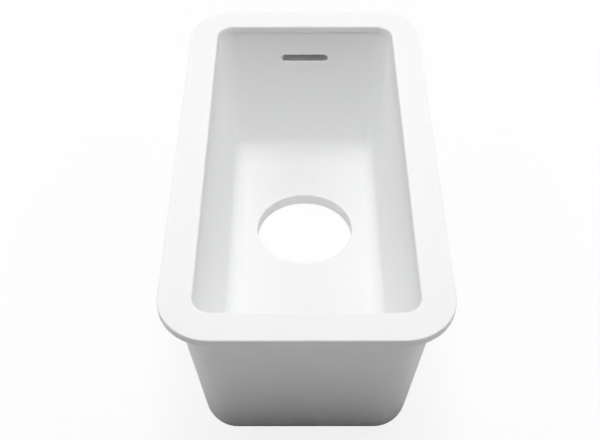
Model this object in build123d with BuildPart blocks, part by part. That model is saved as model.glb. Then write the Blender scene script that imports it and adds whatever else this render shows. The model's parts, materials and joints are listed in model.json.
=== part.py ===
"""Solid surface undermount sink bowl with a bonded rim and an overflow fitting on its rear wall."""

import os
from math import cos, radians, sin, tan

from build123d import *

# Millimetres, +Z up, -Y towards the user.
# The origin is the centre of the opening, on the rim's top face that is bonded under the worktop.

# Bowl
opening_width = 160.0
opening_length = 336.0
bowl_depth = 150.0
wall_thickness = 13.0
floor_thickness = 13.0
side_draft = 4.2
end_draft = 4.7
outer_side_draft = 5.2
side_cove = 14.0
end_cove = 24.0
outer_round = 26.5

# Drain, centred across the bowl and set back from its middle, with a shallow seat round it
drain_diameter = 90.0
drain_setback = 53.0
drain_edge_round = 1.0
seat_width = 9.0
seat_depth = 1.0

# Rim
rim_width = 24.5
rim_thickness = 7.0
rim_corner = 39.0
rim_edge_round = 1.0
opening_edge_round = 1.5
bead_leg = 5.0

# Overflow slot in the rear wall
slot_width = 44.0
slot_height = 7.6
slot_edge_round = 0.5

# Overflow housing and gasket, close under the bead of the rim
flange_gap = 5.1
gasket_thickness = 1.5
flange_thickness = 3.0
flange_margin = 4.0
chamber_side_room = 3.0
chamber_height_room = 5.0
chamber_depth = 10.0
shell = 2.5
neck_length = 11.0
neck_wall = 3.0

# Screws and threaded inserts
screw_diameter = 4.0
screw_end_gap = 2.5
screw_head_diameter = 8.0
screw_head_height = 2.6
screw_head_round = 0.8
hex_key = 2.5
hex_depth = 1.4
insert_wall = 1.0
insert_cover = 4.0

# Swivel elbow with its seal and clip
spigot_diameter = 19.9
spigot_setback = 0.5
collar_thickness = 2.0
bend_room = 2.0
tail_wall = 2.95
tail_root = 6.4
tail_land = 3.6
tail_groove_count = 3
tail_groove_width = 1.6
tail_groove_depth = 0.8
ring_section = 1.5
ring_land = 1.5
wire_diameter = 1.4
clip_grip = 2.5
clip_bend = 4.0

# Clearances
running = 0.05
groove_play = 0.1
hole_play = 0.25
free = 0.3

# Bowl and rim, worked out
rim_underside = -rim_thickness
base = -(bowl_depth + floor_thickness)
rim_outer_width = opening_width + 2 * rim_width
rim_outer_length = opening_length + 2 * rim_width
side_slope = tan(radians(side_draft))
end_slope = tan(radians(end_draft))
outer_side_slope = tan(radians(outer_side_draft))
side_wall_run = wall_thickness / cos(radians(side_draft))
end_wall_run = wall_thickness / cos(radians(end_draft))

# Widths of the overflow fitting
neck_bore = spigot_diameter + 2 * running
neck_outer = neck_bore + 2 * neck_wall
chamber_width = slot_width + 2 * chamber_side_room
chamber_height = slot_height + 2 * chamber_height_room
shell_width = chamber_width + 2 * shell
shell_height = max(chamber_height + 2 * shell, neck_outer)
screw_pitch = shell_width + screw_head_diameter + 2 * free
flange_width = screw_pitch + screw_head_diameter + 2 * flange_margin
flange_height = shell_height + 2 * flange_margin
screw_hole = screw_diameter + 2 * hole_play
insert_bore = screw_diameter + 2 * running
insert_diameter = insert_bore + 2 * insert_wall
insert_pocket = insert_diameter + 2 * running
insert_length = wall_thickness - insert_cover

# Rear wall's outer face: x across, y up the wall, z straight out of it, centred behind the slot
slot_drop = rim_thickness + bead_leg + flange_gap + flange_height / 2
rear_normal = Vector(0, cos(radians(end_draft)), -sin(radians(end_draft)))
slot_middle = Vector(0, opening_length / 2 - slot_drop * end_slope, -slot_drop)
rear = Plane(slot_middle + rear_normal * wall_thickness, x_dir=(-1, 0, 0), z_dir=rear_normal)

# Depths along the rear wall's normal
flange_seat = gasket_thickness
flange_face = flange_seat + flange_thickness
screw_length = flange_face + insert_length - screw_end_gap
chamber_end = flange_seat + chamber_depth
neck_root = chamber_end + shell
neck_end = neck_root + neck_length
collar_seat = neck_end + free
elbow_bend = spigot_diameter / 2 + bend_room
spigot_end = neck_root + spigot_setback
tail_reach = collar_seat + collar_thickness + elbow_bend

# Hose tail, and the seal and clip on the spigot
tail_bore = spigot_diameter - 2 * tail_wall
tail_length = tail_groove_count * (tail_land + tail_groove_width) + tail_root
ring_groove_floor = spigot_diameter / 2 - ring_section
ring_radius = ring_groove_floor + ring_section / 2 + running / 2
ring_middle = spigot_end + ring_land + groove_play + ring_section / 2
clip_offset = spigot_diameter / 2 - wire_diameter / 2 + running
clip_groove_floor = clip_offset - wire_diameter / 2 - groove_play
clip_middle = (ring_middle + ring_section / 2 + neck_end) / 2
clip_reach = neck_outer / 2 + clip_grip


def trough(half_width, half_length, top, bottom, slope, end_radius, side_radius):
    """Drafted trough between two heights; its half sizes are those at z = 0, and slope is that of its sides."""
    with BuildPart() as body:
        with BuildSketch(Plane.YZ):
            with BuildLine():
                Polyline(
                    (half_length + top * end_slope, top),
                    (half_length + bottom * end_slope, bottom),
                    (-half_length - bottom * end_slope, bottom),
                    (-half_length - top * end_slope, top),
                    close=True,
                )
            make_face()
            fillet(vertices().group_by(Axis.Y)[0], radius=end_radius)
        extrude(amount=half_width, both=True)
        with BuildSketch(Plane.XZ):
            with BuildLine():
                Polyline(
                    (half_width + top * slope, top),
                    (half_width + bottom * slope, bottom),
                    (-half_width - bottom * slope, bottom),
                    (-half_width - top * slope, top),
                    close=True,
                )
            make_face()
        extrude(amount=half_length, both=True, mode=Mode.INTERSECT)
        left_side = faces().sort_by(Axis.X)[0]
        right_side = faces().sort_by(Axis.X)[-1]
        side_edges = left_side.edges() + right_side.edges()
        top_edges = edges().group_by(Axis.Z)[-1]
        fillet([edge for edge in side_edges if edge not in top_edges], radius=side_radius)
    return body.part


# The water's space, and the bowl's outside one wall further out
basin = trough(opening_width / 2, opening_length / 2, 0.0, -bowl_depth, side_slope, end_cove, side_cove)
outside = trough(
    opening_width / 2 + side_wall_run,
    opening_length / 2 + end_wall_run,
    rim_underside,
    base,
    outer_side_slope,
    outer_round,
    outer_round,
)

# Bowl: one cast shell
with BuildPart() as bowl:
    add(outside)
    add(basin, mode=Mode.SUBTRACT)
    with Locations((0, drain_setback, -bowl_depth)):
        Cone(
            bottom_radius=drain_diameter / 2,
            top_radius=drain_diameter / 2 + seat_width,
            height=seat_depth,
            align=(Align.CENTER, Align.CENTER, Align.MAX),
            mode=Mode.SUBTRACT,
        )
        Hole(drain_diameter / 2, depth=floor_thickness)
    drain_rims = edges().filter_by(
        lambda edge: edge.geom_type == GeomType.CIRCLE and abs(edge.radius - drain_diameter / 2) < running
    )
    fillet(drain_rims.sort_by(Axis.Z)[-1], radius=drain_edge_round)
    with BuildSketch(rear):
        SlotOverall(slot_width, slot_height)
    extrude(amount=-wall_thickness, mode=Mode.SUBTRACT)
    slot_rims = edges().filter_by(
        lambda edge: abs(rear.to_local_coords(edge.center()).Z + wall_thickness) < running
        and abs(rear.to_local_coords(edge.center()).X) < slot_width / 2 + running
        and abs(rear.to_local_coords(edge.center()).Y) < slot_height / 2 + running
    )
    fillet(slot_rims, radius=slot_edge_round)
    with BuildSketch(rear):
        with GridLocations(screw_pitch, 0, 2, 1):
            Circle(insert_pocket / 2)
    extrude(amount=-insert_length, mode=Mode.SUBTRACT)

# Rim: flat frame on the bowl's upper edge, flush with the bowl's inside
with BuildPart() as rim_flange:
    with BuildSketch():
        RectangleRounded(rim_outer_width, rim_outer_length, rim_corner)
    extrude(amount=-rim_thickness)
    outer_rims = edges().group_by(Axis.Z)[0] + edges().group_by(Axis.Z)[-1]
    fillet(outer_rims, radius=rim_edge_round)
    add(basin, mode=Mode.SUBTRACT)
    opening_rim = faces().sort_by(Axis.Z)[-1].inner_wires()[0].edges()
    fillet(opening_rim, radius=opening_edge_round)

# Bead of joint adhesive in the corner under the rim
with BuildPart() as rim_bead:
    with BuildSketch(Plane.XY.offset(rim_underside)):
        RectangleRounded(
            2 * (opening_width / 2 + side_wall_run + rim_underside * outer_side_slope + bead_leg),
            2 * (opening_length / 2 + end_wall_run + rim_underside * end_slope + bead_leg),
            outer_round + bead_leg,
        )
    extrude(amount=-bead_leg, taper=45)
    add(outside, mode=Mode.SUBTRACT)

# Gasket between the rear wall and the overflow housing
with BuildPart() as overflow_gasket:
    with BuildSketch(rear):
        SlotOverall(flange_width, flange_height)
        SlotOverall(chamber_width, chamber_height, mode=Mode.SUBTRACT)
        with GridLocations(screw_pitch, 0, 2, 1):
            Circle(screw_hole / 2, mode=Mode.SUBTRACT)
    extrude(amount=gasket_thickness)

# Overflow housing: flange, hollow chamber and outlet neck in one moulding, with two slots for the clip
with BuildPart() as overflow_housing:
    with BuildSketch(rear.offset(flange_seat)):
        SlotOverall(flange_width, flange_height)
    extrude(amount=flange_thickness)
    with BuildSketch(rear.offset(flange_face)):
        SlotOverall(shell_width, shell_height)
    extrude(amount=neck_root - flange_face)
    with BuildSketch(rear.offset(neck_root)):
        Circle(neck_outer / 2)
    extrude(amount=neck_length)
    with BuildSketch(rear.offset(flange_seat)):
        SlotOverall(chamber_width, chamber_height)
    extrude(amount=chamber_depth, mode=Mode.SUBTRACT)
    with BuildSketch(rear.offset(chamber_end)):
        Circle(neck_bore / 2)
    extrude(amount=shell + neck_length, mode=Mode.SUBTRACT)
    with BuildSketch(rear.offset(flange_seat)):
        with GridLocations(screw_pitch, 0, 2, 1):
            Circle(screw_hole / 2)
    extrude(amount=flange_thickness, mode=Mode.SUBTRACT)
    with BuildSketch(rear.offset(clip_middle)):
        with GridLocations(2 * clip_offset, 0, 2, 1):
            Rectangle(wire_diameter + 2 * groove_play, neck_outer)
    extrude(amount=wire_diameter / 2 + groove_play, both=True, mode=Mode.SUBTRACT)

# Brass inserts in the rear wall
with BuildPart() as overflow_inserts:
    with BuildSketch(rear):
        with GridLocations(screw_pitch, 0, 2, 1):
            Circle(insert_diameter / 2)
            Circle(insert_bore / 2, mode=Mode.SUBTRACT)
    extrude(amount=-(insert_length - running))

# Socket head screws
with BuildPart() as overflow_screws:
    with BuildSketch(rear.offset(flange_face)):
        with GridLocations(screw_pitch, 0, 2, 1):
            Circle(screw_head_diameter / 2)
    extrude(amount=screw_head_height)
    head_rims = edges().filter_by(
        lambda edge: abs(rear.to_local_coords(edge.center()).Z - flange_face - screw_head_height) < running
    )
    fillet(head_rims, radius=screw_head_round)
    with BuildSketch(rear.offset(flange_face)):
        with GridLocations(screw_pitch, 0, 2, 1):
            Circle(screw_diameter / 2)
    extrude(amount=-screw_length)
    with BuildSketch(rear.offset(flange_face + screw_head_height)):
        with GridLocations(screw_pitch, 0, 2, 1):
            RegularPolygon(hex_key / 2, side_count=6, major_radius=False)
    extrude(amount=-hex_depth, mode=Mode.SUBTRACT)

# Elbow: spigot in the neck, collar, bend and grooved hose tail
section = Plane(rear.origin, x_dir=rear.z_dir, z_dir=rear.z_dir.cross(rear.y_dir))
tail_end = rear.origin + rear.z_dir * tail_reach - rear.y_dir * (elbow_bend + tail_length)
tail = Plane(tail_end, x_dir=rear.x_dir, z_dir=rear.y_dir)
with BuildPart() as swivel_elbow:
    with BuildLine(section):
        FilletPolyline(
            (spigot_end, 0),
            (tail_reach, 0),
            (tail_reach, -(elbow_bend + tail_length)),
            radius=elbow_bend,
        )
    with BuildSketch(rear.offset(spigot_end)):
        Circle(spigot_diameter / 2)
        Circle(tail_bore / 2, mode=Mode.SUBTRACT)
    sweep()
    with BuildSketch(rear.offset(collar_seat)):
        Circle(neck_outer / 2)
        Circle(tail_bore / 2, mode=Mode.SUBTRACT)
    extrude(amount=collar_thickness)
    with BuildSketch(rear.offset(ring_middle)):
        Circle(spigot_diameter / 2 + running)
        Circle(ring_groove_floor, mode=Mode.SUBTRACT)
    extrude(amount=ring_section / 2 + groove_play, both=True, mode=Mode.SUBTRACT)
    with BuildSketch(rear.offset(clip_middle)):
        Circle(spigot_diameter / 2 + running)
        Circle(clip_groove_floor, mode=Mode.SUBTRACT)
    extrude(amount=wire_diameter / 2 + groove_play, both=True, mode=Mode.SUBTRACT)
    for index in range(tail_groove_count):
        with BuildSketch(tail.offset(tail_land + index * (tail_land + tail_groove_width))):
            Circle(spigot_diameter / 2 + running)
            Circle(spigot_diameter / 2 - tail_groove_depth, mode=Mode.SUBTRACT)
        extrude(amount=tail_groove_width, mode=Mode.SUBTRACT)

# Seal ring in the spigot's first groove
with BuildPart() as elbow_o_ring:
    with BuildSketch(section):
        with Locations((ring_middle, ring_radius)):
            Circle(ring_section / 2)
    revolve(axis=Axis(rear.origin, rear.z_dir))

# Wire clip: two legs through the neck's slots, joined by a bow above the neck
clip_plane = rear.offset(clip_middle)
clip_foot = clip_plane.from_local_coords((-clip_offset, -clip_reach, 0))
with BuildPart() as elbow_clip:
    with BuildLine(clip_plane):
        FilletPolyline(
            (-clip_offset, -clip_reach),
            (-clip_offset, clip_reach),
            (clip_offset, clip_reach),
            (clip_offset, -clip_reach),
            radius=clip_bend,
        )
    with BuildSketch(Plane(clip_foot, z_dir=rear.y_dir)):
        Circle(wire_diameter / 2)
    sweep()

pieces = {
    "bowl": bowl,
    "rim_flange": rim_flange,
    "rim_bead": rim_bead,
    "overflow_gasket": overflow_gasket,
    "overflow_housing": overflow_housing,
    "overflow_inserts": overflow_inserts,
    "overflow_screws": overflow_screws,
    "swivel_elbow": swivel_elbow,
    "elbow_o_ring": elbow_o_ring,
    "elbow_clip": elbow_clip,
}
os.makedirs("parts", exist_ok=True)
for name, piece in pieces.items():
    piece.part.label = name
    export_step(piece.part, f"parts/{name}.step")
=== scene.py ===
"""Solid surface sink bowl with its rim and overflow fitting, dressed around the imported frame."""

import json
import math

import bmesh
import bpy
from bpy.props import FloatProperty, FloatVectorProperty, IntProperty, PointerProperty
from mathutils import Matrix, Vector, noise


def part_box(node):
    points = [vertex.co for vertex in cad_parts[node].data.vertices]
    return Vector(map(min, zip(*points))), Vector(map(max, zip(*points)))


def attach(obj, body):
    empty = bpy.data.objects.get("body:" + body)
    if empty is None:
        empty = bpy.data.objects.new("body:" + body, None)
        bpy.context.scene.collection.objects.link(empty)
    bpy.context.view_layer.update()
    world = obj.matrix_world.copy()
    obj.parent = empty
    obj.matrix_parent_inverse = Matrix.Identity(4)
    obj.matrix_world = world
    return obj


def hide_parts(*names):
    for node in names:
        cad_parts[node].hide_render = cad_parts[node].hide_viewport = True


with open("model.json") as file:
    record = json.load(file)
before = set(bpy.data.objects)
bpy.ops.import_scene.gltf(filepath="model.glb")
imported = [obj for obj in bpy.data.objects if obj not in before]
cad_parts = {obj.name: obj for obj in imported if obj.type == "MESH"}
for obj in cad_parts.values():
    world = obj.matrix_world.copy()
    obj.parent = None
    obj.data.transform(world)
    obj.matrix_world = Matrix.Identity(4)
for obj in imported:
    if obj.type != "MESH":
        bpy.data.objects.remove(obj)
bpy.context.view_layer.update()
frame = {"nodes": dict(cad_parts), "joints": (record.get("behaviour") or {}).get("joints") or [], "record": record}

bl_info = {
    "name": "Solid Surface Sink",
    "version": (1, 0, 0),
    "blender": (4, 5, 0),
    "location": "View3D > Sidebar > Sink",
    "description": "Builds a white undermount sink bowl, its overflow fitting and a studio stage",
    "category": "Add Mesh",
}

# What the frame gives: boxes in metres, mounts and the elbow's axis
RIM_LOW, RIM_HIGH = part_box("rim_flange")
BOWL_LOW, BOWL_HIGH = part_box("bowl")
BEAD_LOW, BEAD_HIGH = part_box("rim_bead")
MOUNTS = {mount["name"]: mount for mount in frame["record"]["mounts"]}
SWIVEL = {joint["name"]: joint for joint in frame["joints"]}["overflow_swivel"]

# Rear wall's outer face behind the slot: x across, y up the wall, z straight out of it
ACROSS = Vector((-1, 0, 0))
OUTWARD = Vector(SWIVEL["axis"]).normalized()
UPWARD = OUTWARD.cross(ACROSS)
REAR = Matrix.Translation(SWIVEL["pos_m"]) @ Matrix((ACROSS, UPWARD, OUTWARD)).transposed().to_4x4()

# Facets in a quarter turn of a large round, a small edge round and a turned piece
COVE_STEPS = 24
EDGE_STEPS = 6
ROUND_STEPS = 32

# Distance within which points are one, how far a cutter stands clear of a face, and what counts as sharp
WELD = 1e-6
CLEAR = 0.004
SHARP_ANGLE = math.radians(35)


def rear_box(node):
    """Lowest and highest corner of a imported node, measured in the rear wall's own axes."""
    to_rear = REAR.inverted()
    points = [to_rear @ vertex.co for vertex in frame["nodes"][node].data.vertices]
    low = Vector(min(point[axis] for point in points) for axis in range(3))
    high = Vector(max(point[axis] for point in points) for axis in range(3))
    return low, high


GASKET_LOW, GASKET_HIGH = rear_box("overflow_gasket")
HOUSING_LOW, HOUSING_HIGH = rear_box("overflow_housing")
SCREWS_LOW, SCREWS_HIGH = rear_box("overflow_screws")
ELBOW_LOW, ELBOW_HIGH = rear_box("swivel_elbow")
RING_LOW, RING_HIGH = rear_box("elbow_o_ring")
CLIP_LOW, CLIP_HIGH = rear_box("elbow_clip")


def length(name, description, default):
    """Length in metres, set in the sidebar."""
    return FloatProperty(
        name=name, description=description, default=default, min=0, precision=5, unit="LENGTH"
    )


def angle(name, description, degrees):
    """Angle, set in the sidebar in degrees."""
    return FloatProperty(
        name=name, description=description, default=math.radians(degrees), unit="ROTATION"
    )


def share(name, description, default):
    """Part of a whole, set in the sidebar."""
    return FloatProperty(
        name=name, description=description, default=default, min=0, soft_max=1, subtype="FACTOR"
    )


def power(name, description, watts):
    """Lamp power, set in the sidebar."""
    return FloatProperty(
        name=name, description=description, default=watts, min=0, precision=3, unit="POWER"
    )


def tint(name, description, default):
    """Colour, set in the sidebar."""
    return FloatVectorProperty(
        name=name, description=description, default=default, size=3, min=0, max=1, subtype="COLOR"
    )


class SinkBowlSizes(bpy.types.PropertyGroup):
    """Sizes of the bowl, its rim and the bead between them."""

    wall: length("Wall", "Thickness of the bowl's walls", 0.013)
    floor: length("Floor", "Thickness of the bowl's floor", 0.013)
    side_draft: angle("Side draft", "Lean of the long walls inside", 4.2)
    end_draft: angle("End draft", "Lean of the front and rear walls", 4.7)
    outer_side_draft: angle("Outer side draft", "Lean of the long walls outside", 5.2)
    side_cove: length("Side cove", "Inner round along the long walls", 0.014)
    end_cove: length("End cove", "Inner round at the front and rear", 0.024)
    outer_round: length("Outer round", "Round of the bowl's outside", 0.0265)
    seat_width: length("Seat width", "Width of the dished seat round the drain", 0.009)
    seat_depth: length("Seat depth", "Fall of the dished seat", 0.001)
    drain_edge: length("Drain edge", "Round on the drain's edge", 0.001)
    slot_width: length("Slot width", "Width of the overflow slot", 0.044)
    slot_height: length("Slot height", "Height of the overflow slot", 0.0076)
    slot_edge: length("Slot edge", "Round on the slot's inner edge", 0.0005)
    rim_corner: length("Rim corner", "Corner radius of the rim", 0.039)
    rim_edge: length("Rim edge", "Round on the rim's outer edges", 0.001)
    opening_edge: length("Opening edge", "Round on the opening's edge", 0.0015)
    bead_waver: share("Bead waver", "Unevenness of the bead worked by hand", 0.14)
    bead_lump: length("Bead lump", "Length of a lump along the bead", 0.018)


class SinkOverflowSizes(bpy.types.PropertyGroup):
    """Sizes of the overflow fitting on the rear wall."""

    shell_width: length("Shell width", "Width of the housing's box", 0.055)
    shell_height: length("Shell height", "Height of the housing's box", 0.026)
    shell_wall: length("Shell wall", "Wall of the housing's box", 0.0025)
    shell_round: length("Shell round", "Round on the box's edge", 0.0016)
    flange: length("Flange", "Thickness of the housing's flange", 0.003)
    flange_round: length("Flange round", "Round on the flange's edge", 0.0007)
    chamber_width: length("Chamber width", "Width of the hollow in the housing", 0.050)
    chamber_height: length("Chamber height", "Height of the hollow in the housing", 0.0176)
    chamber_depth: length("Chamber depth", "Depth of the hollow in the housing", 0.010)
    neck_bore: length("Neck bore", "Radius of the neck's bore", 0.010)
    screw_hole: length("Screw hole", "Radius of the screw holes", 0.00225)
    insert_pocket: length("Insert pocket", "Radius of the pockets for the inserts", 0.0031)
    insert_depth: length("Insert depth", "Depth of the pockets for the inserts", 0.009)
    screw_radius: length("Screw radius", "Radius of the screws' shanks", 0.002)
    head_radius: length("Head radius", "Radius of the screws' heads", 0.004)
    head_round: length("Head round", "Round on the screws' heads", 0.0008)
    hex_key: length("Hex key", "Width across the flats of the screws' sockets", 0.0025)
    hex_depth: length("Hex depth", "Depth of the screws' sockets", 0.0014)
    spigot_radius: length("Spigot radius", "Radius of the elbow's spigot and tail", 0.00995)
    elbow_bore: length("Elbow bore", "Radius of the elbow's bore", 0.007)
    collar_gap: length("Collar gap", "Gap between the neck and the collar", 0.0003)
    bend_room: length("Bend room", "Inner radius of the elbow's bend", 0.002)
    ring_play: length("Ring play", "Room beside the seal and clip in their grooves", 0.0001)
    tail_land: length("Tail land", "Length of a land on the hose tail", 0.0036)
    tail_groove: length("Tail groove", "Width of a groove on the hose tail", 0.0016)
    groove_depth: length("Groove depth", "Depth of a groove on the hose tail", 0.0008)
    land_round: length("Land round", "Round on the edges of the lands", 0.0004)
    tail_grooves: IntProperty(name="Tail grooves", description="Grooves on the hose tail", default=3, min=0)
    clip_bend: length("Clip bend", "Bend radius of the wire clip", 0.004)


class SinkFinishes(bpy.types.PropertyGroup):
    """Colours and gloss of the sink's materials."""

    white: tint("White", "Solid surface", (0.964, 0.968, 0.974))
    white_roughness: share("White roughness", "Satin sheen of the sanded faces", 0.6)
    white_glow: length("White glow", "How far light wanders inside the solid surface", 0.0012)
    adhesive: tint("Adhesive", "Joint adhesive under the rim", (0.80, 0.80, 0.78))
    rubber: tint("Rubber", "Gasket and seal ring", (0.022, 0.022, 0.024))
    housing: tint("Housing", "Moulded overflow housing", (0.62, 0.63, 0.645))
    elbow: tint("Elbow", "Moulded swivel elbow", (0.20, 0.205, 0.215))
    brass: tint("Brass", "Threaded inserts", (0.72, 0.53, 0.27))
    steel: tint("Steel", "Screws and wire clip", (0.62, 0.62, 0.63))


class SinkStage(bpy.types.PropertyGroup):
    """Camera, lamps and floor."""

    eye: FloatVectorProperty(
        name="Eye",
        description="Where the camera stands",
        default=(-0.00499, -0.57314, 0.51587),
        subtype="TRANSLATION",
        unit="LENGTH",
    )
    pitch: angle("Pitch", "How far the camera looks down", 46.33)
    yaw: angle("Yaw", "How far the camera turns to the left", -0.043)
    lens: FloatProperty(
        name="Lens", description="Focal length on a 36 mm frame", default=57.08, unit="CAMERA"
    )
    sky: share("Sky", "Light from all round, above the floor", 0.005)
    overhead: power("Overhead", "Soft box above the sink", 10.2)
    behind: power("Behind", "Soft box above and behind the sink", 40)
    left: power("Left", "Soft box on the left", 8.8)
    right: power("Right", "Soft box on the right", 9.2)
    front: power("Front", "Soft box above the camera", 1.5)
    fill: power("Fill", "Narrow beam on the rear wall and its slot", 0.016)
    wash: power("Wash", "Narrow beam on the floor in front", 0.25)
    # Painted shade: the floor's thrown-back light is darkened close to the sink, standing in for the shadow round
    # its foot
    painted_shade_bounce: share("Painted shade bounce", "Light that the floor throws back close to the sink", 0.02)
    far_bounce: share("Far bounce", "Light that the floor throws back away from the sink", 0.95)
    drain_bounce: share("Drain bounce", "Light that the floor throws back under the drain", 0.78)
    floor_shadow: share("Floor shadow", "Depth of the shadow on the floor", 0.14)


# Shapes


def trough(half_width, half_length, top, bottom, draft, side_draft, end_radius, side_radius):
    """Drafted trough, half sizes given at z = 0, with a ball of side_radius rolled along its sides."""
    above = top + side_radius
    middle_z = bottom + end_radius
    middle_y = half_length + middle_z * math.tan(draft) - end_radius / math.cos(draft)
    stations = [(half_length + above * math.tan(draft) - side_radius / math.cos(draft), above, -draft)]
    for step in range(COVE_STEPS + 1):
        turn = -draft - (math.pi / 2 - draft) * step / COVE_STEPS
        reach = end_radius - side_radius
        stations.append((middle_y + reach * math.cos(turn), middle_z + reach * math.sin(turn), turn))
    stations += [(-y, z, math.pi - turn) for y, z, turn in reversed(stations)]
    side_normal = Vector((math.cos(side_draft), 0, -math.sin(side_draft)))
    mesh = bmesh.new()
    rows = []
    for y, z, turn in stations:
        x = half_width + z * math.tan(side_draft) - side_radius / math.cos(side_draft)
        centre = Vector((x, y, z))
        end_normal = Vector((0, math.cos(turn), math.sin(turn)))
        right = []
        for step in range(COVE_STEPS + 1):
            normal = end_normal.slerp(side_normal, step / COVE_STEPS)
            right.append(centre + side_radius * normal)
        left = [Vector((-point.x, point.y, point.z)) for point in reversed(right)]
        rows.append([mesh.verts.new(point) for point in left + right])
    for near, far in zip(rows, rows[1:]):
        for i in range(len(near) - 1):
            mesh.faces.new((near[i], near[i + 1], far[i + 1], far[i]))
    mesh.faces.new([row[0] for row in rows])
    mesh.faces.new([row[-1] for row in rows])
    bmesh.ops.remove_doubles(mesh, verts=mesh.verts, dist=WELD)
    everything = mesh.verts[:] + mesh.edges[:] + mesh.faces[:]
    bmesh.ops.bisect_plane(
        mesh, geom=everything, plane_co=(0, 0, top), plane_no=(0, 0, 1), clear_outer=True
    )
    bmesh.ops.edgeloop_fill(mesh, edges=[edge for edge in mesh.edges if edge.is_boundary])
    bmesh.ops.recalc_face_normals(mesh, faces=mesh.faces)
    return mesh


def rounded_outline(half_x, half_y, radius, steps=COVE_STEPS):
    """Points of a rectangle with round corners, or of a long slot where the radius is half its height."""
    points = []
    for quarter in range(4):
        across = half_x - radius if quarter in (0, 3) else radius - half_x
        along = half_y - radius if quarter in (0, 1) else radius - half_y
        for step in range(steps + 1):
            turn = math.pi / 2 * (quarter + step / steps)
            points.append((across + radius * math.cos(turn), along + radius * math.sin(turn)))
    return points


def slot_rings(half_x, half_y, profile):
    """Rings of a long slot's outline; profile holds (inset, z) pairs."""
    rings = []
    for inset, z in profile:
        outline = rounded_outline(half_x - inset, half_y - inset, half_y - inset)
        rings.append([Vector((x, y, z)) for x, y in outline])
    return rings


def full_turn(steps):
    """Angles of points spread evenly round a circle."""
    return [math.tau * step / steps for step in range(steps)]


def circle_rings(profile):
    """Rings about the z axis; profile holds (radius, z) pairs."""
    turns = full_turn(4 * ROUND_STEPS)
    return [[Vector((r * math.cos(turn), r * math.sin(turn), z)) for turn in turns] for r, z in profile]


def edge_round(radius, start, end):
    """(sideways, upwards) steps along a small round from one angle to another, in degrees."""
    turns = [math.radians(start + (end - start) * step / EDGE_STEPS) for step in range(EDGE_STEPS + 1)]
    return [(radius * math.cos(turn), radius * math.sin(turn)) for turn in turns]


def loft(rings, place=Matrix.Identity(4), closed=False, mesh=None):
    """Skin over rings with the same number of points, capped at both ends or joined end to end."""
    mesh = mesh or bmesh.new()
    rows = [[mesh.verts.new(place @ point) for point in ring] for ring in rings]
    pairs = list(zip(rows, rows[1:]))
    if closed:
        pairs.append((rows[-1], rows[0]))
    for near, far in pairs:
        for i in range(len(near)):
            mesh.faces.new((near[i - 1], near[i], far[i], far[i - 1]))
    if not closed:
        mesh.faces.new(rows[0])
        mesh.faces.new(rows[-1])
    bmesh.ops.remove_doubles(mesh, verts=mesh.verts, dist=WELD)
    bmesh.ops.recalc_face_normals(mesh, faces=mesh.faces)
    return mesh


def prism(half_x, half_y, low, high, place):
    """Box-shaped cutter between two heights."""
    corners = [(-half_x, -half_y), (half_x, -half_y), (half_x, half_y), (-half_x, half_y)]
    return loft([[Vector((x, y, z)) for x, y in corners] for z in (low, high)], place)


def solid(name, mesh):
    """Object made of a mesh under construction."""
    data = bpy.data.meshes.new(name)
    mesh.to_mesh(data)
    mesh.free()
    made = bpy.data.objects.new(name, data)
    bpy.context.scene.collection.objects.link(made)
    return made


def carve(piece, cutters, operation="DIFFERENCE"):
    """Cuts other solids out of a piece, or joins them to it, and removes them."""
    tools = [solid(f"{piece.name}_tool", cutter) for cutter in cutters]
    for tool in tools:
        step = piece.modifiers.new(tool.name, "BOOLEAN")
        step.object = tool
        step.operation = operation
        step.solver = "EXACT"
    graph = bpy.context.evaluated_depsgraph_get()
    carved = bpy.data.meshes.new_from_object(piece.evaluated_get(graph))
    piece.modifiers.clear()
    mesh = bmesh.new()
    mesh.from_mesh(carved)
    bmesh.ops.remove_doubles(mesh, verts=mesh.verts, dist=WELD)
    mesh.to_mesh(carved)
    mesh.free()
    used = [piece.data] + [tool.data for tool in tools]
    carved.name = piece.name
    piece.data = carved
    for tool in tools:
        bpy.data.objects.remove(tool)
    for data in used:
        bpy.data.meshes.remove(data)
    return piece


def dress(piece, material, slot, body, *nodes):
    """Smooth shading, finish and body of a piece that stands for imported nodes."""
    piece.data.materials.clear()
    piece.data.materials.append(material)
    piece.data.shade_smooth()
    piece.data.set_sharp_from_angle(angle=SHARP_ANGLE)
    normals = piece.modifiers.new("face normals", "WEIGHTED_NORMAL")
    normals.keep_sharp = True
    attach(piece, body)
    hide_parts(*nodes)


def finish_node(node, material):
    """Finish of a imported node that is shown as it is."""
    slots = frame["nodes"][node].material_slots
    for slot in slots:
        slot.material = material


# Finishes


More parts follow.
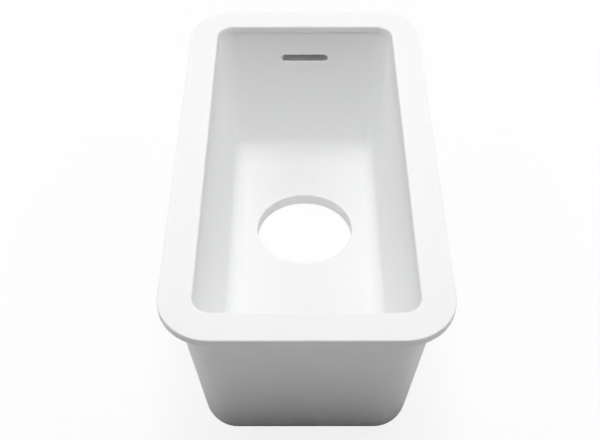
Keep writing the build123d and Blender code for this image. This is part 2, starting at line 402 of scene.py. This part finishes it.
class Finish:
    """Node tree of one material, with short forms for its textures."""

    def __init__(self, name):
        self.material = bpy.data.materials.new(name)
        self.material.use_nodes = True
        self.tree = self.material.node_tree
        self.shader = self.tree.nodes["Principled BSDF"]
        self.place = self.tree.nodes.new("ShaderNodeTexCoord").outputs["Object"]

    def link(self, output, target):
        self.tree.links.new(output, target)

    def set(self, **values):
        """Plain values for the shader's inputs."""
        for name, value in values.items():
            self.shader.inputs[name.replace("_", " ")].default_value = value

    def feed(self, **outputs):
        """Textures for the shader's inputs."""
        for name, output in outputs.items():
            self.link(output, self.shader.inputs[name.replace("_", " ")])

    def stretched(self, factors):
        """Place scaled along each axis, for brushed or sanded lines."""
        node = self.tree.nodes.new("ShaderNodeVectorMath")
        node.operation = "MULTIPLY"
        node.inputs[1].default_value = factors
        self.link(self.place, node.inputs[0])
        return node.outputs["Vector"]

    def noise(self, size, detail=2.0, place=None):
        """Cloudy texture whose lumps are about size metres across."""
        node = self.tree.nodes.new("ShaderNodeTexNoise")
        node.inputs["Scale"].default_value = 1 / size
        node.inputs["Detail"].default_value = detail
        self.link(place or self.place, node.inputs["Vector"])
        return node.outputs["Fac"]

    def spread(self, factor, low, high, start=0.3, end=0.7):
        """Texture value brought between two limits."""
        node = self.tree.nodes.new("ShaderNodeMapRange")
        for name, value in (("From Min", start), ("From Max", end), ("To Min", low), ("To Max", high)):
            node.inputs[name].default_value = value
        self.link(factor, node.inputs["Value"])
        return node.outputs["Result"]

    def shade(self, colour, factor, low, high):
        """Colour darkened and lightened by a texture."""
        node = self.tree.nodes.new("ShaderNodeVectorMath")
        node.operation = "SCALE"
        node.inputs[0].default_value = colour
        self.link(self.spread(factor, low, high), node.inputs["Scale"])
        return node.outputs["Vector"]

    def bump(self, height, depth, before=None):
        """Surface relief of a given depth in metres."""
        node = self.tree.nodes.new("ShaderNodeBump")
        node.inputs["Distance"].default_value = depth
        self.link(height, node.inputs["Height"])
        if before:
            self.link(before, node.inputs["Normal"])
        return node.outputs["Normal"]


def solid_surface(finishes):
    """Sanded mineral filled acrylic: cloudy white, fine filler grain, satin with faint sanding lines."""
    finish = Finish("white solid surface")
    cloud = finish.noise(size=0.06, detail=3)
    grain = finish.noise(size=0.0007)
    sanding = finish.noise(size=0.0012, detail=3, place=finish.stretched((1.0, 0.06, 1.0)))
    white = finish.shade(finishes.white, cloud, low=0.99, high=1.01)
    roughness = finishes.white_roughness
    rough = finish.spread(sanding, low=roughness - 0.05, high=roughness + 0.05)
    relief = finish.bump(grain, depth=0.00002)
    relief = finish.bump(sanding, depth=0.00002, before=relief)
    finish.feed(Base_Color=white, Roughness=rough, Normal=relief)
    finish.set(IOR=1.49, Specular_IOR_Level=0.15)
    finish.set(Subsurface_Weight=1.0, Subsurface_Radius=(1, 1, 1), Subsurface_Scale=finishes.white_glow)
    return finish.material


def joint_adhesive(finishes):
    """Cured joint adhesive, lumpy from the finger that smoothed it."""
    finish = Finish("joint adhesive")
    lumps = finish.noise(size=0.006, detail=3)
    shaded = finish.shade(finishes.adhesive, lumps, low=0.93, high=1.03)
    rough = finish.spread(lumps, low=0.45, high=0.7)
    finish.feed(Base_Color=shaded, Roughness=rough, Normal=finish.bump(lumps, depth=0.0004))
    return finish.material


def moulded_plastic(name, colour, roughness):
    """Moulded plastic with a fine spark-eroded skin and faint flow marks."""
    finish = Finish(name)
    skin = finish.noise(size=0.0005)
    flow = finish.noise(size=0.012, detail=4, place=finish.stretched((1.0, 0.4, 1.0)))
    shaded = finish.shade(colour, flow, low=0.94, high=1.05)
    rough = finish.spread(flow, low=roughness - 0.07, high=roughness + 0.08)
    finish.feed(Base_Color=shaded, Roughness=rough, Normal=finish.bump(skin, depth=0.00006))
    return finish.material


def black_rubber(finishes):
    """Matt rubber with a bloom of pale dust."""
    finish = Finish("black rubber")
    bloom = finish.noise(size=0.004, detail=4)
    skin = finish.noise(size=0.0006)
    shaded = finish.shade(finishes.rubber, bloom, low=0.8, high=1.7)
    rough = finish.spread(bloom, low=0.6, high=0.85)
    finish.feed(Base_Color=shaded, Roughness=rough, Normal=finish.bump(skin, depth=0.00008))
    return finish.material


def turned_metal(name, colour, roughness):
    """Turned or drawn metal with fine tool lines."""
    finish = Finish(name)
    lines = finish.noise(size=0.0009, detail=3, place=finish.stretched((0.15, 1.0, 1.0)))
    shaded = finish.shade(colour, lines, low=0.88, high=1.05)
    rough = finish.spread(lines, low=roughness - 0.08, high=roughness + 0.1)
    finish.feed(Base_Color=shaded, Roughness=rough, Normal=finish.bump(lines, depth=0.00003))
    finish.set(Metallic=1.0)
    return finish.material


def stainless_steel(finishes):
    """Steel of the screws and the wire clip."""
    return turned_metal("stainless steel", finishes.steel, roughness=0.3)


def shared_finish(name, make, finishes):
    """Material made once and used by several pieces."""
    return bpy.data.materials.get(name) or make(finishes)


# Pieces


def outer_half_sizes(sizes):
    """Half width and half length of the bowl's outside, carried up to z = 0."""
    half_width = BOWL_HIGH.x - BOWL_HIGH.z * math.tan(sizes.outer_side_draft)
    half_length = BOWL_HIGH.y - BOWL_HIGH.z * math.tan(sizes.end_draft)
    return half_width, half_length


def basin(sizes):
    """The water's space, carried on above the rim."""
    half_width, half_length = outer_half_sizes(sizes)
    return trough(
        half_width=half_width - sizes.wall / math.cos(sizes.side_draft),
        half_length=half_length - sizes.wall / math.cos(sizes.end_draft),
        top=CLEAR,
        bottom=BOWL_LOW.z + sizes.floor,
        draft=sizes.end_draft,
        side_draft=sizes.side_draft,
        end_radius=sizes.end_cove,
        side_radius=sizes.side_cove,
    )


def drain_cutter(sizes):
    """Drain hole with a round edge and the dished seat above it."""
    radius = MOUNTS["drain"]["dims"]["r_mm"] / 1000
    floor = BOWL_LOW.z + sizes.floor
    fall = math.atan2(sizes.seat_depth, sizes.seat_width)
    edge_z = floor - sizes.seat_depth + sizes.drain_edge * (math.tan(fall) - 1 / math.cos(fall))
    profile = [(radius, BOWL_LOW.z - CLEAR)]
    for across, up in edge_round(sizes.drain_edge, 180, 90 + math.degrees(fall)):
        profile.append((radius + sizes.drain_edge + across, edge_z + up))
    profile.append((radius + sizes.seat_width, floor))
    profile.append((radius + sizes.seat_width, floor + CLEAR))
    x, y, _ = MOUNTS["drain"]["pos_m"]
    return loft(circle_rings(profile), Matrix.Translation((x, y, 0)))


def slot_cutter(sizes):
    """Overflow slot through the rear wall, with a round edge on the inside."""
    profile = [(0, CLEAR)]
    for across, up in edge_round(sizes.slot_edge, 180, 270):
        profile.append((-sizes.slot_edge - across, sizes.slot_edge - sizes.wall + up))
    profile.append((-sizes.slot_edge, -sizes.wall - CLEAR))
    return loft(slot_rings(sizes.slot_width / 2, sizes.slot_height / 2, profile), REAR)


def screw_places(fitting):
    """Where the two screws stand on the rear wall."""
    offset = SCREWS_HIGH.x - fitting.head_radius
    return [REAR @ Matrix.Translation((x, 0, 0)) for x in (-offset, offset)]


def screw_holes(fitting, radius, low, high):
    """Cutters for a round hole at each screw, between two heights."""
    profile = [(radius, low), (radius, high)]
    return [loft(circle_rings(profile), place) for place in screw_places(fitting)]


def chamber_cutter(fitting, low, high):
    """Hollow behind the slot, between two heights."""
    profile = [(0, low), (0, high)]
    return loft(slot_rings(fitting.chamber_width / 2, fitting.chamber_height / 2, profile), REAR)


class SINK_OT_bowl(bpy.types.Operator):
    """Build the cast bowl with its drain hole and overflow slot"""

    bl_idname = "sink.bowl"
    bl_label = "Bowl"

    def execute(self, context):
        sizes = context.scene.sink_bowl
        fitting = context.scene.sink_overflow
        half_width, half_length = outer_half_sizes(sizes)
        outside = trough(
            half_width=half_width,
            half_length=half_length,
            top=BOWL_HIGH.z,
            bottom=BOWL_LOW.z,
            draft=sizes.end_draft,
            side_draft=sizes.outer_side_draft,
            end_radius=sizes.outer_round,
            side_radius=sizes.outer_round,
        )
        pockets = screw_holes(fitting, fitting.insert_pocket, -fitting.insert_depth, CLEAR)
        piece = solid("sink_bowl", outside)
        carve(piece, [basin(sizes), drain_cutter(sizes), slot_cutter(sizes)] + pockets)
        finishes = context.scene.sink_finishes
        white = shared_finish("white solid surface", solid_surface, finishes)
        dress(piece, white, "solid_surface", "sink", "bowl")
        return {"FINISHED"}


class SINK_OT_rim(bpy.types.Operator):
    """Build the flat rim, flush with the bowl's inside"""

    bl_idname = "sink.rim"
    bl_label = "Rim"

    def execute(self, context):
        sizes = context.scene.sink_bowl
        edge = sizes.rim_edge
        profile = [(edge - across, RIM_HIGH.z - edge + up) for across, up in edge_round(edge, 90, 0)]
        profile += [(edge - across, RIM_LOW.z + edge + up) for across, up in edge_round(edge, 0, -90)]
        rings = []
        for inset, z in profile:
            outline = rounded_outline(RIM_HIGH.x - inset, RIM_HIGH.y - inset, sizes.rim_corner - inset)
            rings.append([Vector((x, y, z)) for x, y in outline])
        piece = solid("sink_rim", loft(rings))
        carve(piece, [basin(sizes)])
        mesh = bmesh.new()
        mesh.from_mesh(piece.data)
        opening = []
        for line in mesh.edges:
            level = all(abs(vertex.co.z - RIM_HIGH.z) < WELD for vertex in line.verts)
            if level and line.calc_face_angle(0) > SHARP_ANGLE:
                opening.append(line)
        bmesh.ops.bevel(
            mesh, geom=opening, offset=sizes.opening_edge, segments=EDGE_STEPS, profile=0.5, affect="EDGES"
        )
        mesh.to_mesh(piece.data)
        mesh.free()
        finishes = context.scene.sink_finishes
        white = shared_finish("white solid surface", solid_surface, finishes)
        dress(piece, white, "solid_surface", "sink", "rim_flange")
        return {"FINISHED"}


class SINK_OT_bead(bpy.types.Operator):
    """Build the hollow bead of adhesive in the corner under the rim"""

    bl_idname = "sink.bead"
    bl_label = "Adhesive bead"

    def execute(self, context):
        sizes = context.scene.sink_bowl
        half_width, half_length = outer_half_sizes(sizes)
        leg = BEAD_HIGH.z - BEAD_LOW.z
        section = [(leg - across, BEAD_LOW.z + up) for across, up in edge_round(leg, 90, 0)]
        rings = []
        for across, z in section + [(0, BEAD_HIGH.z)]:
            wall_width = half_width + z * math.tan(sizes.outer_side_draft)
            wall_length = half_length + z * math.tan(sizes.end_draft)
            inner = rounded_outline(wall_width, wall_length, sizes.outer_round)
            outer = rounded_outline(wall_width + across, wall_length + across, sizes.outer_round + across)
            ring = []
            for (wall_x, wall_y), (x, y) in zip(inner, outer):
                lump = noise.noise(Vector((x, y, 0)) / sizes.bead_lump)
                kept = 1 - sizes.bead_waver * (1 + lump) / 2
                ring.append(Vector((wall_x + (x - wall_x) * kept, wall_y + (y - wall_y) * kept, z)))
            rings.append(ring)
        piece = solid("adhesive_bead", loft(rings, closed=True))
        finishes = context.scene.sink_finishes
        dress(piece, joint_adhesive(finishes), "joint_adhesive", "sink", "rim_bead")
        return {"FINISHED"}


class SINK_OT_housing(bpy.types.Operator):
    """Build the hollow overflow housing with its flange and neck"""

    bl_idname = "sink.housing"
    bl_label = "Overflow housing"

    def execute(self, context):
        sizes = context.scene.sink_overflow
        finishes = context.scene.sink_finishes
        seat = HOUSING_LOW.z
        flange_face = seat + sizes.flange
        chamber_end = seat + sizes.chamber_depth
        shell_face = chamber_end + sizes.shell_wall
        profile = [(0, seat)]
        for across, up in edge_round(sizes.flange_round, 0, 90):
            profile.append((sizes.flange_round - across, flange_face - sizes.flange_round + up))
        flange = loft(slot_rings(HOUSING_HIGH.x, HOUSING_HIGH.y, profile), REAR)
        piece = solid("overflow_housing_shell", flange)
        profile = [(0, seat + sizes.flange / 2)]
        for across, up in edge_round(sizes.shell_round, 0, 90):
            profile.append((sizes.shell_round - across, shell_face - sizes.shell_round + up))
        box = loft(slot_rings(sizes.shell_width / 2, sizes.shell_height / 2, profile), REAR)
        neck_radius = ELBOW_HIGH.x
        profile = [(neck_radius, chamber_end)]
        for across, up in edge_round(sizes.flange_round, 0, 90):
            inset = sizes.flange_round - across
            profile.append((neck_radius - inset, HOUSING_HIGH.z - sizes.flange_round + up))
        neck = loft(circle_rings(profile), REAR)
        carve(piece, [box, neck], "UNION")
        through = [(sizes.neck_bore, chamber_end - CLEAR / 4), (sizes.neck_bore, HOUSING_HIGH.z + CLEAR)]
        cutters = [chamber_cutter(sizes, seat - CLEAR, chamber_end), loft(circle_rings(through), REAR)]
        cutters += screw_holes(sizes, sizes.screw_hole, -CLEAR, flange_face + CLEAR)
        wire = (CLIP_HIGH.z - CLIP_LOW.z) / 2 + sizes.ring_play
        clip_z = (CLIP_HIGH.z + CLIP_LOW.z) / 2
        for x in (CLIP_LOW.x + wire, CLIP_HIGH.x - wire):
            place = REAR @ Matrix.Translation((x, 0, 0))
            cutters.append(prism(wire, neck_radius, clip_z - wire, clip_z + wire, place))
        carve(piece, cutters)
        plastic = moulded_plastic("grey moulded plastic", finishes.housing, roughness=0.5)
        dress(piece, plastic, "housing_plastic", "sink", "overflow_housing")
        return {"FINISHED"}


class SINK_OT_gasket(bpy.types.Operator):
    """Build the squeezed gasket under the housing's flange"""

    bl_idname = "sink.gasket"
    bl_label = "Gasket"

    def execute(self, context):
        sizes = context.scene.sink_overflow
        finishes = context.scene.sink_finishes
        squeeze = (GASKET_HIGH.z - GASKET_LOW.z) / 2
        bulge = squeeze / 4
        middle = (GASKET_HIGH.z + GASKET_LOW.z) / 2
        profile = []
        for across, up in edge_round(1, -90, 90):
            profile.append((bulge - across * bulge, middle + up * squeeze))
        piece = solid("gasket", loft(slot_rings(GASKET_HIGH.x, GASKET_HIGH.y, profile), REAR))
        holes = screw_holes(sizes, sizes.screw_hole, -CLEAR, CLEAR)
        carve(piece, [chamber_cutter(sizes, -CLEAR, CLEAR)] + holes)
        rubber = shared_finish("black rubber", black_rubber, finishes)
        dress(piece, rubber, "rubber", "sink", "overflow_gasket")
        return {"FINISHED"}


class SINK_OT_screws(bpy.types.Operator):
    """Build the socket head screws, and finish the inserts that they turn in"""

    bl_idname = "sink.screws"
    bl_label = "Screws and inserts"

    def execute(self, context):
        sizes = context.scene.sink_overflow
        finishes = context.scene.sink_finishes
        seat = HOUSING_LOW.z + sizes.flange
        profile = [(sizes.screw_radius, SCREWS_LOW.z), (sizes.screw_radius, seat)]
        profile.append((sizes.head_radius, seat))
        for across, up in edge_round(sizes.head_round, 0, 90):
            inset = sizes.head_round - across
            profile.append((sizes.head_radius - inset, SCREWS_HIGH.z - sizes.head_round + up))
        screws = bmesh.new()
        sockets = []
        corner = sizes.hex_key / math.sqrt(3)
        hexagon = [(corner * math.cos(turn), corner * math.sin(turn)) for turn in full_turn(6)]
        heights = (SCREWS_HIGH.z - sizes.hex_depth, SCREWS_HIGH.z + CLEAR)
        for place in screw_places(sizes):
            loft(circle_rings(profile), place, mesh=screws)
            rings = [[Vector((across, up, z)) for across, up in hexagon] for z in heights]
            sockets.append(loft(rings, place))
        piece = carve(solid("socket_screws", screws), sockets)
        steel = shared_finish("stainless steel", stainless_steel, finishes)
        dress(piece, steel, "steel", "sink", "overflow_screws")
        brass = turned_metal("turned brass", finishes.brass, roughness=0.35)
        finish_node("overflow_inserts", brass)
        return {"FINISHED"}


def elbow_stations(sizes):
    """(distance along the elbow, radius) pairs of its outside, its straight run and its bend's radius."""
    radius = sizes.spigot_radius
    start = ELBOW_LOW.z
    collar = HOUSING_HIGH.z + sizes.collar_gap - start
    bend = radius + sizes.bend_room
    straight = ELBOW_HIGH.z - radius - bend - start
    run = straight + bend * math.pi / 2
    total = run + (-ELBOW_LOW.y - bend)
    ring = (RING_LOW.z + RING_HIGH.z) / 2 - start
    ring_half = (RING_HIGH.z - RING_LOW.z) / 2 + sizes.ring_play
    ring_groove = (ring - ring_half, ring + ring_half, radius - (RING_HIGH.z - RING_LOW.z))
    wire = (CLIP_HIGH.z - CLIP_LOW.z) / 2
    clip = (CLIP_LOW.z + CLIP_HIGH.z) / 2 - start
    clip_floor = CLIP_HIGH.x - 2 * wire - sizes.ring_play
    clip_groove = (clip - wire - sizes.ring_play, clip + wire + sizes.ring_play, clip_floor)
    tail_grooves = []
    pitch = sizes.tail_land + sizes.tail_groove
    for index in reversed(range(sizes.tail_grooves)):
        end = total - sizes.tail_land - index * pitch
        tail_grooves.append((end - sizes.tail_groove, end, radius - sizes.groove_depth))
    soft = sizes.land_round
    stations = [(0, radius - soft), (soft, radius)]
    for low, high, floor in (ring_groove, clip_groove):
        stations += [(low, radius), (low, floor), (high, floor), (high, radius)]
    wide = ELBOW_HIGH.x
    stations += [(collar, radius), (collar, wide - soft), (collar + soft, wide)]
    stations += [(straight - soft, wide), (straight, wide - soft), (straight, radius)]
    for step in range(1, COVE_STEPS + 1):
        stations.append((straight + bend * math.pi / 2 * step / COVE_STEPS, radius))
    for low, high, floor in tail_grooves:
        stations += [(low - soft, radius), (low, radius - soft), (low, floor)]
        stations += [(high, floor), (high, radius - soft), (high + soft, radius)]
    stations += [(total - soft, radius), (total, radius - soft)]
    return stations, straight, bend


class SINK_OT_elbow(bpy.types.Operator):
    """Build the swivel elbow with its grooved hose tail, and finish its seal ring"""

    bl_idname = "sink.elbow"
    bl_label = "Swivel elbow"

    def execute(self, context):
        sizes = context.scene.sink_overflow
        finishes = context.scene.sink_finishes
        stations, straight, bend = elbow_stations(sizes)
        inside = [(along, sizes.elbow_bore) for along, _ in reversed(stations)]
        rings = []
        last = None
        for along, radius in stations + inside:
            if (along, radius) == last:
                continue
            last = (along, radius)
            turned = min(max((along - straight) / bend, 0), math.pi / 2)
            beyond = max(along - straight - bend * math.pi / 2, 0)
            out = min(along, straight) + bend * math.sin(turned)
            down = bend * (1 - math.cos(turned)) + beyond
            middle = Vector((0, -down, ELBOW_LOW.z + out))
            side = Vector((0, math.cos(turned), math.sin(turned)))
            ring = []
            for turn in full_turn(4 * ROUND_STEPS):
                arm = math.cos(turn) * Vector((1, 0, 0)) + math.sin(turn) * side
                ring.append(middle + radius * arm)
            rings.append(ring)
        piece = solid("elbow_tube", loft(rings, REAR, closed=True))
        plastic = moulded_plastic("dark moulded plastic", finishes.elbow, roughness=0.42)
        dress(piece, plastic, "elbow_plastic", "elbow", "swivel_elbow")
        finish_node("elbow_o_ring", shared_finish("black rubber", black_rubber, finishes))
        return {"FINISHED"}


class SINK_OT_clip(bpy.types.Operator):
    """Build the spring wire clip that holds the elbow in the neck"""

    bl_idname = "sink.clip"
    bl_label = "Wire clip"

    def execute(self, context):
        sizes = context.scene.sink_overflow
        wire = (CLIP_HIGH.z - CLIP_LOW.z) / 2
        leg = CLIP_HIGH.x - wire
        foot, top = CLIP_LOW.y, CLIP_HIGH.y - wire
        bend = sizes.clip_bend
        path = [((-leg, foot), 90), ((-leg, top - bend), 90)]
        for start, middle in ((180, (-leg + bend, top - bend)), (90, (leg - bend, top - bend))):
            for step in range(1, COVE_STEPS + 1):
                turn = math.radians(start - 90 * step / COVE_STEPS)
                point = (middle[0] + bend * math.cos(turn), middle[1] + bend * math.sin(turn))
                path.append((point, math.degrees(turn) - 90))
        path.append(((leg, foot), -90))
        height = (CLIP_HIGH.z + CLIP_LOW.z) / 2
        rings = []
        for (x, y), heading in path:
            across = math.radians(heading + 90)
            ring = []
            for turn in full_turn(ROUND_STEPS):
                reach = wire * math.cos(turn)
                rise = wire * math.sin(turn)
                point = (x + reach * math.cos(across), y + reach * math.sin(across), height + rise)
                ring.append(Vector(point))
            rings.append(ring)
        piece = solid("spring_clip", loft(rings, REAR))
        finishes = context.scene.sink_finishes
        steel = shared_finish("stainless steel", stainless_steel, finishes)
        dress(piece, steel, "steel", "sink", "elbow_clip")
        return {"FINISHED"}


# Stage

# Where the floor changes, from the sink's middle and counted in half sizes of its rim
DRAIN_BAND = (0.5, 0.7)
# Band over which the painted shade round the sink's foot fades out
FOOT_BAND = (1.3, 1.7)
SHADOW_BAND = (1.5, 4)

# Half the floor's length and width in metres
FLOOR_HALF = 6.0


def combined(tree, operation, one, other):
    """Two values brought together, such as the larger or the smaller of them."""
    node = tree.nodes.new("ShaderNodeMath")
    node.operation = operation
    tree.links.new(one, node.inputs[0])
    tree.links.new(other, node.inputs[1])
    return node.outputs["Value"]


def backdrop_rays(tree):
    """Rays that show the backdrop: straight from the camera, and passed on by metal or glass."""
    path = tree.nodes.new("ShaderNodeLightPath").outputs
    passed_on = combined(tree, "MAXIMUM", path["Is Glossy Ray"], path["Is Transmission Ray"])
    return path["Is Camera Ray"], passed_on


def pale_floor(stage):
    """White to the eye with a soft shadow; the light it throws back is darkened round the sink's foot as painted
    shade.
    """
    material = bpy.data.materials.new("pale floor")
    material.use_nodes = True
    material.cycles.emission_sampling = "NONE"
    tree = material.node_tree
    tree.nodes.clear()
    place = tree.nodes.new("ShaderNodeNewGeometry").outputs["Position"]
    scaled = tree.nodes.new("ShaderNodeVectorMath")
    scaled.operation = "MULTIPLY"
    scaled.inputs[1].default_value = (1 / RIM_HIGH.x, 1 / RIM_HIGH.y, 0)
    reach = tree.nodes.new("ShaderNodeVectorMath")
    reach.operation = "LENGTH"
    tree.links.new(place, scaled.inputs[0])
    tree.links.new(scaled.outputs["Vector"], reach.inputs[0])

    def away(band, low, high):
        """Value that changes over a band of distances from the sink's middle."""
        start, end = band
        fade = tree.nodes.new("ShaderNodeMapRange")
        fade.interpolation_type = "SMOOTHSTEP"
        for name, value in (("From Min", start), ("From Max", end), ("To Min", low), ("To Max", high)):
            fade.inputs[name].default_value = value
        tree.links.new(reach.outputs["Value"], fade.inputs["Value"])
        return fade.outputs["Result"]

    # Painted shade: the light the floor throws back is darkened round the sink's foot, and brought up again under
    # the drain
    bounce = tree.nodes.new("ShaderNodeBsdfDiffuse")
    under_drain = away(DRAIN_BAND, stage.drain_bounce, stage.painted_shade_bounce)
    around = away(FOOT_BAND, stage.painted_shade_bounce, stage.far_bounce)
    tree.links.new(combined(tree, "MAXIMUM", under_drain, around), bounce.inputs["Color"])
    lit = tree.nodes.new("ShaderNodeBsdfDiffuse")
    lit.inputs["Color"].default_value = (stage.floor_shadow,) * 3 + (1,)
    glow = tree.nodes.new("ShaderNodeEmission")
    glow.inputs["Strength"].default_value = 1 - stage.floor_shadow
    near = tree.nodes.new("ShaderNodeAddShader")
    tree.links.new(lit.outputs[0], near.inputs[0])
    tree.links.new(glow.outputs[0], near.inputs[1])
    white = tree.nodes.new("ShaderNodeEmission")
    look = tree.nodes.new("ShaderNodeMixShader")
    tree.links.new(away(SHADOW_BAND, 0, 1), look.inputs["Fac"])
    tree.links.new(near.outputs[0], look.inputs[1])
    tree.links.new(white.outputs[0], look.inputs[2])
    pick = tree.nodes.new("ShaderNodeMixShader")
    straight, passed_on = backdrop_rays(tree)
    # Reflections of the floor within the foot band show the same painted shade
    beyond_foot = combined(tree, "MINIMUM", passed_on, away(FOOT_BAND, 0, 1))
    tree.links.new(combined(tree, "MAXIMUM", straight, beyond_foot), pick.inputs["Fac"])
    tree.links.new(bounce.outputs[0], pick.inputs[1])
    tree.links.new(look.outputs[0], pick.inputs[2])
    output = tree.nodes.new("ShaderNodeOutputMaterial")
    tree.links.new(pick.outputs[0], output.inputs["Surface"])
    return material


def soft_sky(stage):
    """White backdrop, and a dim even light from above the horizon."""
    world = bpy.data.worlds.new("soft sky")
    world.use_nodes = True
    tree = world.node_tree
    tree.nodes.clear()
    sky = tree.nodes.new("ShaderNodeBackground")
    sky.inputs["Strength"].default_value = stage.sky
    white = tree.nodes.new("ShaderNodeBackground")
    pick = tree.nodes.new("ShaderNodeMixShader")
    for background in (sky, white):
        background.inputs["Color"].default_value = (1, 1, 1, 1)
    tree.links.new(combined(tree, "MAXIMUM", *backdrop_rays(tree)), pick.inputs["Fac"])
    tree.links.new(sky.outputs[0], pick.inputs[1])
    tree.links.new(white.outputs[0], pick.inputs[2])
    output = tree.nodes.new("ShaderNodeOutputWorld")
    tree.links.new(pick.outputs[0], output.inputs["Surface"])
    return world


def soft_box(name, place, target, size, power, spread=math.pi):
    """Square area lamp aimed at a point, whose beam may be narrowed by a grid."""
    data = bpy.data.lights.new(name, "AREA")
    data.size = size
    data.energy = power
    data.spread = spread
    lamp = bpy.data.objects.new(name, data)
    lamp.location = place
    lamp.rotation_euler = (Vector(target) - Vector(place)).to_track_quat("-Z", "Y").to_euler()
    lamp.visible_camera = False
    bpy.context.scene.collection.objects.link(lamp)
    return lamp


class SINK_OT_stage(bpy.types.Operator):
    """Set up the floor, the lamps and the camera"""

    bl_idname = "sink.stage"
    bl_label = "Stage"

    def execute(self, context):
        scene = context.scene
        stage = scene.sink_stage
        scene.view_settings.view_transform = "Standard"
        scene.world = soft_sky(stage)
        half = FLOOR_HALF
        corners = [(-half, -half), (half, -half), (half, half), (-half, half)]
        ground = bmesh.new()
        ground.faces.new([ground.verts.new((x, y, BOWL_LOW.z)) for x, y in corners])
        floor = solid("floor", ground)
        floor.data.materials.append(pale_floor(stage))
        middle = (0, 0, BOWL_LOW.z / 2)
        above_rear_wall = (0, RIM_HIGH.y, 0.03)
        floor_in_front = (0, -0.65, BOWL_LOW.z)
        narrow = math.radians(24)
        wide = math.radians(30)
        soft_box("overhead", (0, 0, 1.5), middle, size=0.4, power=stage.overhead)
        soft_box("behind", (0, 2.0, 3.8), middle, size=3.3, power=stage.behind)
        soft_box("left", (-1.25, 0.3, 0.95), middle, size=1.3, power=stage.left)
        soft_box("right", (1.25, 0.3, 0.95), middle, size=1.3, power=stage.right)
        soft_box("front", (0, -1.2, 1.2), middle, size=0.8, power=stage.front)
        soft_box("fill", (0, -1.2, 1.2), above_rear_wall, size=0.3, power=stage.fill, spread=narrow)
        soft_box("wash", (0, -0.65, 1.2), floor_in_front, size=0.3, power=stage.wash, spread=wide)
        camera = bpy.data.objects.new("camera", bpy.data.cameras.new("camera"))
        camera.data.lens = stage.lens
        camera.data.clip_start = 0.01
        camera.location = stage.eye
        camera.rotation_euler = (math.pi / 2 - stage.pitch, 0, stage.yaw)
        scene.collection.objects.link(camera)
        scene.camera = camera
        return {"FINISHED"}


OPERATORS = (
    SINK_OT_bowl,
    SINK_OT_rim,
    SINK_OT_bead,
    SINK_OT_housing,
    SINK_OT_gasket,
    SINK_OT_screws,
    SINK_OT_elbow,
    SINK_OT_clip,
    SINK_OT_stage,
)
GROUPS = {
    "sink_bowl": SinkBowlSizes,
    "sink_overflow": SinkOverflowSizes,
    "sink_finishes": SinkFinishes,
    "sink_stage": SinkStage,
}


class SINK_PT_builder(bpy.types.Panel):
    """Sink's pieces and sizes"""

    bl_idname = "SINK_PT_builder"
    bl_label = "Solid surface sink"
    bl_space_type = "VIEW_3D"
    bl_region_type = "UI"
    bl_category = "Sink"

    def draw(self, context):
        for operator in OPERATORS:
            self.layout.operator(operator.bl_idname)
        for group in GROUPS:
            box = self.layout.box()
            values = getattr(context.scene, group)
            for name in values.bl_rna.properties.keys():
                if name not in ("rna_type", "name"):
                    box.prop(values, name)


def register():
    for kind in (*GROUPS.values(), *OPERATORS, SINK_PT_builder):
        bpy.utils.register_class(kind)
    for name, kind in GROUPS.items():
        setattr(bpy.types.Scene, name, PointerProperty(type=kind))


def unregister():
    for name in GROUPS:
        delattr(bpy.types.Scene, name)
    for kind in reversed((*GROUPS.values(), *OPERATORS, SINK_PT_builder)):
        bpy.utils.unregister_class(kind)


def main():
    register()
    bpy.ops.sink.bowl()
    bpy.ops.sink.rim()
    bpy.ops.sink.bead()
    bpy.ops.sink.housing()
    bpy.ops.sink.gasket()
    bpy.ops.sink.screws()
    bpy.ops.sink.elbow()
    bpy.ops.sink.clip()
    bpy.ops.sink.stage()


if __name__ == "__main__":
    main()
